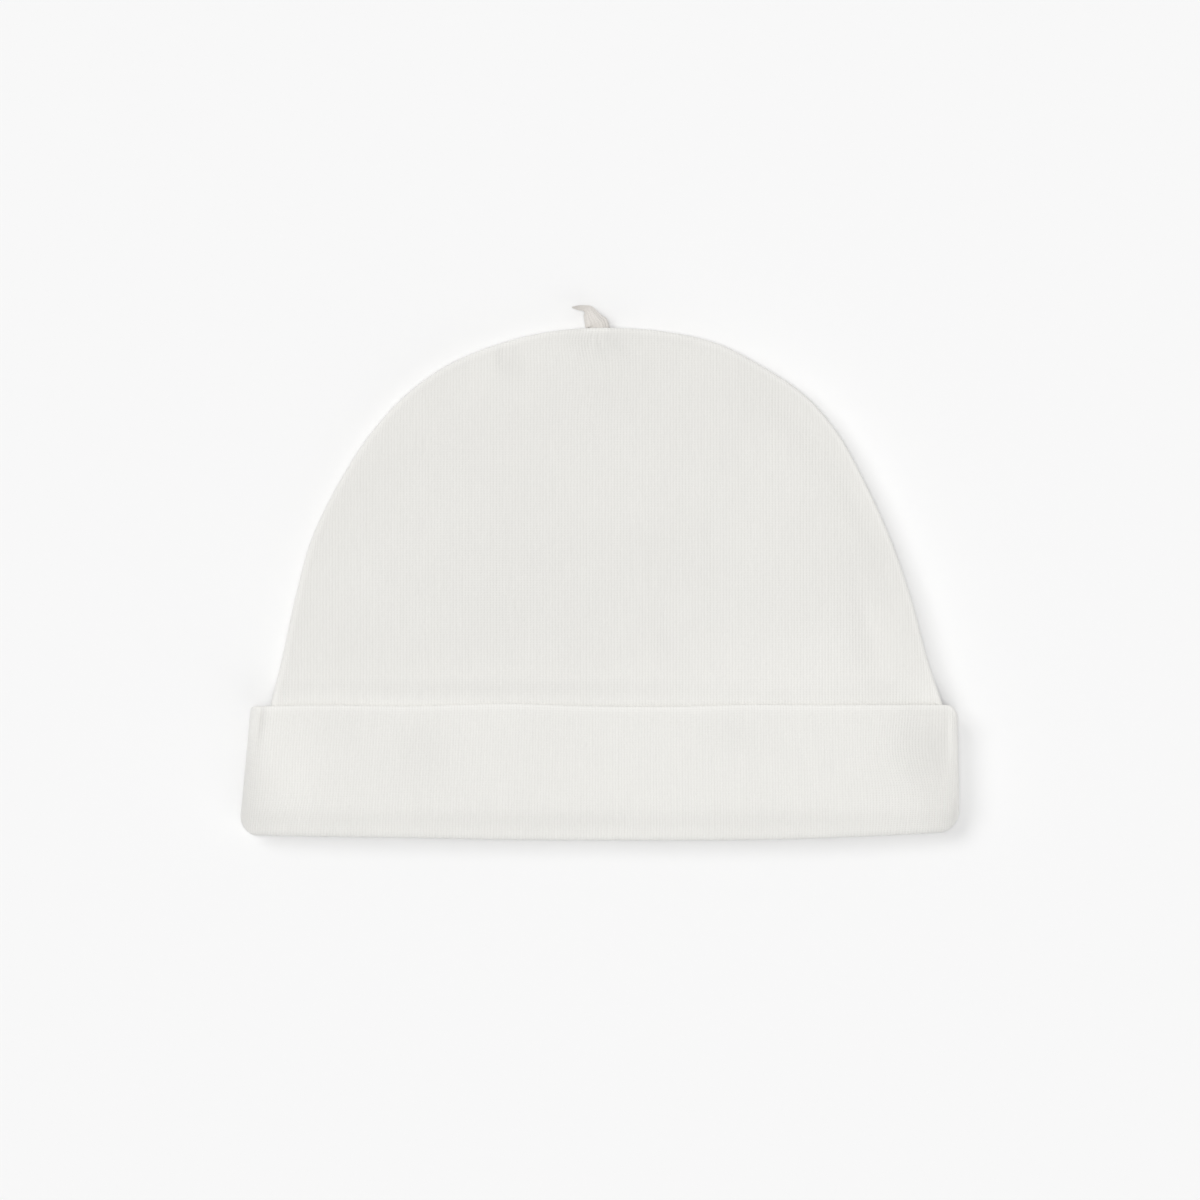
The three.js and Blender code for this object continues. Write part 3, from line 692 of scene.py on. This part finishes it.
def stem_body(name, sides=72, steps=70):
    places = [np.array((
        stem_foot[0] - row[1] * stem_height,
        stem_foot[1] + row[0] * stem_height,
        crown_seam_level + row[4] * stem_thickness)) for row in stem_sections]
    path = through([*places, 2 * places[-1] - places[-2]], 40)
    along = np.linspace(0, len(path) - 1, steps + 1)
    centre = np.column_stack([np.interp(along, np.arange(len(path)), path[:, k]) for k in range(3)])
    ahead = np.gradient(centre, axis=0)
    ahead /= np.linalg.norm(ahead, axis=1, keepdims=True)
    across = np.column_stack((ahead[:, 1], -ahead[:, 0], np.zeros(len(ahead))))
    across /= np.linalg.norm(across, axis=1, keepdims=True)
    up = np.cross(across, ahead)
    at, places_at = along / along[-1], np.linspace(0, 1, len(stem_sections))
    half_width = stem_width / 2 * curve_through(places_at, stem_sections[:, 2], at)
    half_thickness = stem_thickness / 2 * curve_through(places_at, stem_sections[:, 3], at)
    turn = np.arange(sides) / sides * 2 * math.pi
    crease = 1 - crease_depth * np.exp(-(((turn - math.pi / 2) / crease_width) ** 2))
    crease = crease + lobe_depth * np.cos(lobes * turn)
    points = (centre[:, None]
              + across[:, None] * (half_width[:, None] * (np.cos(turn) * crease)[None])[..., None]
              + up[:, None] * (half_thickness[:, None] * (np.sin(turn) * crease)[None])[..., None])
    rows = np.arange((steps + 1) * sides).reshape(steps + 1, sides)
    around = np.column_stack((rows, rows[:, 0]))
    length = np.concatenate(([0], np.cumsum(np.linalg.norm(np.diff(centre, axis=0), axis=1))))
    wales = np.tile(turn / (2 * math.pi) * stem_wales, steps + 1)
    courses = np.repeat(length / course, sides)
    shares = np.repeat(smooth((1 - at) / 0.1), sides)
    # painted shade: the tip darker
    painted_shading = np.repeat(-0.03 * smooth((at - 0.6) / 0.3), sides)
    ends = [rows[0][::-1], rows[-1]]
    return cloth_mesh(name, points.reshape(-1, 3), quads(around), wales, courses, shares, painted_shading, ends)


stem = stem_body("Curled_stem")

# %% [markdown]
# ## Cotton interlock as a material
# Two effects are shared by all the cloth, so each is a node group. One draws the stitches: in each
# wale a column of loops, which show as small V shapes, and a mask for the painted shade in the gaps
# between them. The other makes cotton's quiet unevenness: broad clouds, streaks along single wales,
# and fuzz. Both put out only values; each cloth's own Principled BSDF stays in its material. The
# material also multiplies in the painted light and shade that each mesh carries.

# %% A short way to add and join nodes
def add(tree, kind, links=(), **settings):
    """Adds a node, sets its settings, and joins or sets its inputs by name or number."""
    node = tree.nodes.new(kind)
    for key, value in settings.items():
        setattr(node, key, value)
    for socket, value in dict(links).items():
        if isinstance(value, bpy.types.NodeSocket):
            tree.links.new(value, node.inputs[socket])
        else:
            node.inputs[socket].default_value = value
    return node


def math_node(tree, operation, *values):
    return add(tree, "ShaderNodeMath", dict(enumerate(values)), operation=operation).outputs[0]


# %% Node group: the stitches
def stitch_group():
    group = bpy.data.node_groups.new("Interlock stitches", "ShaderNodeTree")
    face = group.interface
    face.new_socket("Knit", in_out="INPUT", socket_type="NodeSocketVector")
    for name, value in (("Chevron", 0.45), ("Loop share", 0.5)):
        face.new_socket(name, in_out="INPUT", socket_type="NodeSocketFloat").default_value = value
    face.new_socket("Height", in_out="OUTPUT", socket_type="NodeSocketFloat")
    face.new_socket("Gap shade", in_out="OUTPUT", socket_type="NodeSocketFloat")
    given = add(group, "NodeGroupInput").outputs
    part = add(group, "ShaderNodeSeparateXYZ", {0: given["Knit"]}).outputs
    across = math_node(group, "PINGPONG", part[0], 0.5)
    slanted = math_node(group, "MULTIPLY_ADD", across, given["Chevron"], part[1])
    loops = math_node(group, "COSINE", math_node(group, "MULTIPLY", slanted, 2 * math.pi))
    ribs = math_node(group, "COSINE", math_node(group, "MULTIPLY", part[0], 2 * math.pi))
    both = math_node(group, "MULTIPLY_ADD", loops, given["Loop share"], ribs)
    height = math_node(group, "MULTIPLY_ADD", both, 0.3, 0.5)
    # a mask for painted shade in the gaps between the loops
    below = math_node(group, "SUBTRACT", 0.42, height)
    gap = math_node(group, "SMOOTH_MIN", math_node(group, "MULTIPLY", below, 3), 1.0, 0.1)
    gap = math_node(group, "MAXIMUM", gap, 0.0)
    add(group, "NodeGroupOutput", {"Height": height, "Gap shade": gap})
    print(group.name, "with", len(group.nodes), "nodes")
    return group


# %% Node group: cotton's unevenness
def noise(tree, place, scale, detail):
    settings = {"Vector": place, "Scale": scale, "Detail": detail}
    return add(tree, "ShaderNodeTexNoise", settings).outputs[0]


def cotton_group():
    group = bpy.data.node_groups.new("Cotton unevenness", "ShaderNodeTree")
    face = group.interface
    face.new_socket("Place", in_out="INPUT", socket_type="NodeSocketVector")
    face.new_socket("Thread", in_out="INPUT", socket_type="NodeSocketVector")
    face.new_socket("Tone", in_out="OUTPUT", socket_type="NodeSocketFloat")
    face.new_socket("Fuzz", in_out="OUTPUT", socket_type="NodeSocketFloat")
    given = add(group, "NodeGroupInput").outputs
    clouds = noise(group, given["Place"], 45.0, 3.0)
    stretched = add(group, "ShaderNodeMapping", {"Vector": given["Thread"], "Scale": (1.1, 0.06, 1)})
    streaks = noise(group, stretched.outputs[0], 1.0, 2.0)
    fuzz = noise(group, given["Place"], 1500.0, 4.0)
    painted_light_shade = math_node(group, "MULTIPLY_ADD", streaks, 0.5, math_node(group, "MULTIPLY", clouds, 0.5))
    add(group, "NodeGroupOutput", {"Tone": painted_light_shade, "Fuzz": fuzz})
    print(group.name, "with", len(group.nodes), "nodes")
    return group


stitches, cotton = stitch_group(), cotton_group()


# %% One cotton cloth, with its own colours and its own values
# painted shade in the gaps between stitches: its colour and strength; and the bump's height
gap_shade_colour, gap_shade_share, bump_height = (0.45, 0.42, 0.38, 1), 0.2, 0.0001


def mixed(tree, share, one, other):
    links = {0: share, 6: one, 7: other}
    return add(tree, "ShaderNodeMix", links, data_type="RGBA").outputs[2]


def cotton_cloth(name, light, dark, chevron, loop_share, bump):
    material = bpy.data.materials.new(name)
    material.use_nodes = True
    tree = material.node_tree
    shader = tree.nodes["Principled BSDF"]
    place = add(tree, "ShaderNodeTexCoord").outputs["Object"]
    thread = add(tree, "ShaderNodeUVMap", uv_map="knit").outputs[0]
    knit = add(tree, "ShaderNodeGroup", node_tree=stitches)
    wear = add(tree, "ShaderNodeGroup", node_tree=cotton)
    tree.links.new(thread, knit.inputs["Knit"])
    knit.inputs["Chevron"].default_value = chevron
    knit.inputs["Loop share"].default_value = loop_share
    tree.links.new(place, wear.inputs["Place"])
    tree.links.new(thread, wear.inputs["Thread"])
    full_range = {0: wear.outputs["Tone"], 1: 0.3, 2: 0.7, 3: 0.0, 4: 1.0}
    yarn = mixed(tree, add(tree, "ShaderNodeMapRange", full_range).outputs[0], dark, light)
    gap_shade = math_node(tree, "MULTIPLY", knit.outputs["Gap shade"], gap_shade_share)
    colour = mixed(tree, gap_shade, yarn, gap_shade_colour)
    # painted light and shade from the mesh scales the colour
    painted_light_shade_here = add(tree, "ShaderNodeAttribute", attribute_name="painted_light_shade").outputs["Fac"]
    lighter = {0: colour, "Scale": math_node(tree, "ADD", painted_light_shade_here, 1.0)}
    colour = add(tree, "ShaderNodeVectorMath", lighter, operation="SCALE").outputs[0]
    tree.links.new(colour, shader.inputs["Base Color"])
    height = math_node(tree, "MULTIPLY_ADD", wear.outputs["Fuzz"], 0.5, knit.outputs["Height"])
    stitch_relief = {"Height": height, "Strength": bump, "Distance": bump_height}
    stitch_relief = add(tree, "ShaderNodeBump", stitch_relief)
    tree.links.new(stitch_relief.outputs[0], shader.inputs["Normal"])
    shader.inputs["Roughness"].default_value = 0.92
    shader.inputs["Specular IOR Level"].default_value = 0.25
    shader.inputs["Sheen Weight"].default_value = 0.35
    shader.inputs["Sheen Roughness"].default_value = 0.6
    print(name, "light", light[:3], "dark", dark[:3])
    return material


crown_cloth = cotton_cloth(
    "Off-white interlock", (0.815, 0.807, 0.778, 1), (0.78, 0.772, 0.744, 1),
    chevron=0.45, loop_share=0.5, bump=0.7)
cuff_cloth = cotton_cloth(
    "Off-white interlock reverse", (0.848, 0.84, 0.81, 1), (0.812, 0.804, 0.776, 1),
    chevron=-0.45, loop_share=0.7, bump=0.7)
# the stem's cloth is darker and warmer than the crown's: painted shade, for the shade that it lies in
# below the crown's edge
stem_cloth = cotton_cloth(
    "Curled raw end", (0.8, 0.767, 0.733, 1), (0.68, 0.652, 0.615, 1),
    chevron=0.45, loop_share=0.5, bump=0.6)


# %% [markdown]
# ## Ribs by Geometry Nodes
# Each wale stands up as a soft rib. A bump map would only shade them; Geometry Nodes can push the
# cloth in between the wales, so that they also show at the cap's edge. The tree first merges points
# that lie on each other, then reads each point's wale number and sinks the points between two wales.
# A slow noise adds the small unevenness of real cloth. Its seed is fixed, one for each piece.

# %% The rib tree
def rib_tree():
    tree = bpy.data.node_groups.new("Knitted ribs", "GeometryNodeTree")
    face = tree.interface
    face.new_socket("Geometry", in_out="INPUT", socket_type="NodeSocketGeometry")
    face.new_socket("Cloth", in_out="INPUT", socket_type="NodeSocketMaterial")
    for name, value in (("Rib depth", 0.0001), ("Unevenness", 0.0001), ("Lump size", 0.004)):
        face.new_socket(name, in_out="INPUT", socket_type="NodeSocketFloat").default_value = value
    face.new_socket("Seed", in_out="INPUT", socket_type="NodeSocketFloat").default_value = 3.0
    face.new_socket("Geometry", in_out="OUTPUT", socket_type="NodeSocketGeometry")
    given = add(tree, "NodeGroupInput").outputs
    merging = {"Geometry": given["Geometry"], "Distance": 0.00001}
    joined = add(tree, "GeometryNodeMergeByDistance", merging).outputs[0]
    wale, share = (
        add(tree, "GeometryNodeInputNamedAttribute", {"Name": name}, data_type="FLOAT").outputs[0]
        for name in ("wale", "relief"))
    wave = math_node(tree, "COSINE", math_node(tree, "MULTIPLY", wale, 2 * math.pi))
    valley = math_node(tree, "MULTIPLY_ADD", wave, -0.5, 0.5)
    lump_scale = math_node(tree, "DIVIDE", 1.0, given["Lump size"])
    lumps = {"W": given["Seed"], "Scale": lump_scale, "Detail": 2.0}
    lumps = add(tree, "ShaderNodeTexNoise", lumps, noise_dimensions="4D").outputs[0]
    lumps = math_node(tree, "MULTIPLY", lumps, given["Unevenness"])
    sunk = math_node(tree, "MULTIPLY_ADD", valley, given["Rib depth"], lumps)
    amount = math_node(tree, "MULTIPLY", math_node(tree, "MULTIPLY", sunk, share), -1.0)
    normal = add(tree, "GeometryNodeInputNormal").outputs[0]
    offset = {0: normal, "Scale": amount}
    offset = add(tree, "ShaderNodeVectorMath", offset, operation="SCALE").outputs[0]
    moved = add(tree, "GeometryNodeSetPosition", {"Geometry": joined, "Offset": offset}).outputs[0]
    whole = add(tree, "GeometryNodeRealizeInstances", {0: moved}).outputs[0]
    made = add(tree, "GeometryNodeSetMaterial", {"Geometry": whole, "Material": given["Cloth"]})
    add(tree, "NodeGroupOutput", {"Geometry": made.outputs[0]})
    print(tree.name, "with", len(tree.nodes), "nodes")
    return tree


ribs = rib_tree()


# %% Knit each piece and keep the result as a plain mesh
def knit(piece, **inputs):
    modifier = piece.modifiers.new("Knitted ribs", "NODES")
    modifier.node_group = ribs
    sockets = [item for item in ribs.interface.items_tree if item.in_out == "INPUT"]
    identifiers = {item.name: item.identifier for item in sockets}
    for name, value in inputs.items():
        modifier[identifiers[name.replace("_", " ")]] = value
    depsgraph = bpy.context.evaluated_depsgraph_get()
    done = bpy.data.meshes.new_from_object(
        piece.evaluated_get(depsgraph), preserve_all_data_layers=True, depsgraph=depsgraph)
    piece.modifiers.remove(modifier)
    piece.data = done
    done.name = piece.name
    done.calc_loop_triangles()
    print(piece.name, len(done.loop_triangles), "triangles")


on_crown = {"Cloth": crown_cloth, "Rib_depth": 0.00013, "Unevenness": 0.00012, "Lump_size": 0.005}
on_cuff = {"Cloth": cuff_cloth, "Rib_depth": 0.00013, "Unevenness": 0.00015, "Lump_size": 0.004}
knit(crown_front, **on_crown, Seed=3.0)
knit(crown_back, **on_crown, Seed=11.0)
knit(cuff_front, **on_cuff, Seed=5.0)
knit(cuff_back, **on_cuff, Seed=7.0)
knit(stem, Cloth=stem_cloth, Rib_depth=0.00013, Unevenness=0.0001, Lump_size=0.003, Seed=9.0)

# %% [markdown]
# ## Each piece takes its solid's place
# The cap has no joints, so everything rides on the one body. Each piece stands for the solid whose
# shape it has, which is hidden. The four panels are sheets of cloth.

# %% Ride and replace
for piece, node, slot in (
    (crown_front, "crown_front", "crown_cloth"),
    (crown_back, "crown_back", "crown_cloth"),
    (cuff_front, "cuff_front", "cuff_cloth"),
    (cuff_back, "cuff_back", "cuff_cloth"),
    (stem, "stem", "stem_cloth"),
):
    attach(piece, "root")
    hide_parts(node)
print("5 pieces on body root")

# %% [markdown]
# ## Floor, light and camera
# The cap lies on a pale, plain surface, seen straight from above. Most light comes straight down, as
# from a large box over the table, and some from all round. A weaker soft lamp leans in from the upper
# left, which gives the soft shade at the right of the cuff and below it. A wide low fill from the
# lower right keeps the right end of the cuff light. Area lamps would fade across the floor; sun lamps
# give it the same light everywhere.

# %% The floor
floor_half = 3.0
floor_corners = [(x * floor_half, y * floor_half, 0) for x, y in ((-1, -1), (1, -1), (1, 1), (-1, 1))]
floor_mesh = bpy.data.meshes.new("floor")
floor_mesh.from_pydata(floor_corners, [], [(0, 1, 2, 3)])
floor = bpy.data.objects.new("floor", floor_mesh)
bpy.context.scene.collection.objects.link(floor)
paper = bpy.data.materials.new("Pale paper")
paper.use_nodes = True
paper_shader = paper.node_tree.nodes["Principled BSDF"]
paper_shader.inputs["Base Color"].default_value = (0.9, 0.9, 0.9, 1)
paper_shader.inputs["Roughness"].default_value = 1.0
paper_shader.inputs["Specular IOR Level"].default_value = 0.0
floor_mesh.materials.append(paper)
print("floor", 2 * floor_half, "m wide")


# %% Lights
def sun(name, toward_left, toward_top, strength, spread):
    """A lamp that leans by those angles from straight overhead; the light's spread is in degrees too."""
    lamp = bpy.data.lights.new(name, "SUN")
    lamp.energy, lamp.angle = strength, math.radians(spread)
    holder = bpy.data.objects.new(name, lamp)
    holder.rotation_euler = (math.radians(-toward_top), math.radians(-toward_left), 0)
    bpy.context.scene.collection.objects.link(holder)
    print(name, strength, "W/m2")


sun("Overhead", 0, 0, 1.11, 14)
sun("Key", 30, 17, 0.92, 32)
sun("Fill", -45, -45, 0.55, 60)
world = bpy.data.worlds.new("Studio")
world.use_nodes = True
sky = world.node_tree.nodes["Background"]
sky.inputs["Color"].default_value = (1, 1, 1, 1)
sky.inputs["Strength"].default_value = 0.36
bpy.context.scene.world = world
bpy.context.scene.view_settings.view_transform = "Standard"

# %% Camera: straight down from far away, all in metres
frame_width, frame_middle_y, camera_height, nearest_seen, farthest_seen = 0.3017, -0.0068, 3.0, 0.1, 20
lens = bpy.data.cameras.new("Camera")
lens.lens = lens.sensor_width * camera_height / frame_width
lens.clip_start, lens.clip_end = nearest_seen, farthest_seen
camera = bpy.data.objects.new("Camera", lens)
camera.location = (0, frame_middle_y, camera_height)
bpy.context.scene.collection.objects.link(camera)
bpy.context.scene.camera = camera
print("lens", round(lens.lens), "mm")
